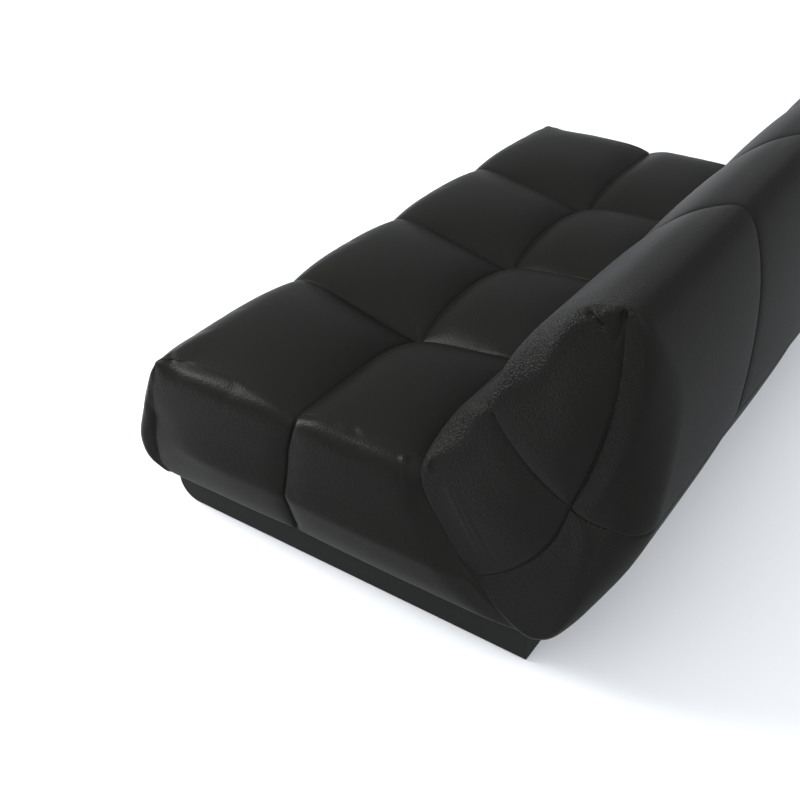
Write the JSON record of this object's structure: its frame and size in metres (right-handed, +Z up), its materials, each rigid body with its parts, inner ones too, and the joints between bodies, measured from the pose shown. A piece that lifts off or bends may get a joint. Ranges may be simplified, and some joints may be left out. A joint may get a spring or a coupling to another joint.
{
  "type": "sofa",
  "caption": "Armless black leather sofa with a tufted seat, a thick wedge-shaped leaning back and a recessed plinth.",
  "frame": {"origin": "on the floor, at the middle of the sofa's length and depth", "axes": "+Z up, X along the length, the seat faces -Y and the back stands at +Y"},
  "size_m": [1.696, 1.1186, 0.79],
  "materials": {
    "black_leather": "soft pebble-grained black leather with a low sheen",
    "foam": "open-cell upholstery foam with a thin wadding",
    "webbing": "woven elastic webbing",
    "zinc_steel": "zinc-plated",
    "lining_cloth": "black non-woven cloth",
    "glide_plastic": "moulded",
    "fibreboard": "thin hardboard",
    "plinth_lacquer": "board with a matt black coating",
    "frame_wood": "sawn softwood and plywood"
  },
  "bodies": {
    "root": {"back_bolts": "zinc_steel", "back_crease_rail": "frame_wood", "back_foam_lower": "foam", "back_foam_upper": "foam", "back_front_rail": "frame_wood", "back_mount_board": "frame_wood", "back_nuts": "zinc_steel", "back_panel_lower_1": "black_leather", "back_panel_lower_2": "black_leather", "back_panel_lower_3": "black_leather", "back_panel_lower_4": "black_leather", "back_panel_upper_1": "black_leather", "back_panel_upper_2": "black_leather", "back_panel_upper_3": "black_leather", "back_panel_upper_4": "black_leather", "back_rear_rail": "frame_wood", "back_ribs": "frame_wood", "back_top_rail": "frame_wood", "back_webbing": "webbing", "dust_cover": "lining_cloth", "frame_bolts": "zinc_steel", "glides": "glide_plastic", "plinth_corner_blocks": "frame_wood", "plinth_cross_boards": "frame_wood", "plinth_end_board_left": "plinth_lacquer", "plinth_end_board_right": "plinth_lacquer", "plinth_front_rail": "plinth_lacquer", "plinth_rear_rail": "plinth_lacquer", "rear_board_lower": "fibreboard", "rear_board_upper": "fibreboard", "rear_foam_lower": "foam", "rear_foam_upper": "foam", "rear_panel_lower_1": "black_leather", "rear_panel_lower_2": "black_leather", "rear_panel_lower_3": "black_leather", "rear_panel_lower_4": "black_leather", "rear_panel_upper_1": "black_leather", "rear_panel_upper_2": "black_leather", "rear_panel_upper_3": "black_leather", "rear_panel_upper_4": "black_leather", "seat_core_foam": "foam", "seat_corner_blocks": "frame_wood", "seat_cross_rails": "frame_wood", "seat_end_border_foam": "foam", "seat_end_rail_left": "frame_wood", "seat_end_rail_right": "frame_wood", "seat_foam_pads": "foam", "seat_front_border_foam": "foam", "seat_front_rail": "frame_wood", "seat_panel_front_1": "black_leather", "seat_panel_front_2": "black_leather", "seat_panel_front_3": "black_leather", "seat_panel_front_4": "black_leather", "seat_panel_rear_1": "black_leather", "seat_panel_rear_2": "black_leather", "seat_panel_rear_3": "black_leather", "seat_panel_rear_4": "black_leather", "seat_rear_board": "frame_wood", "seat_webbing_cross": "webbing", "seat_webbing_long": "webbing"}
  },
  "joints": []
}
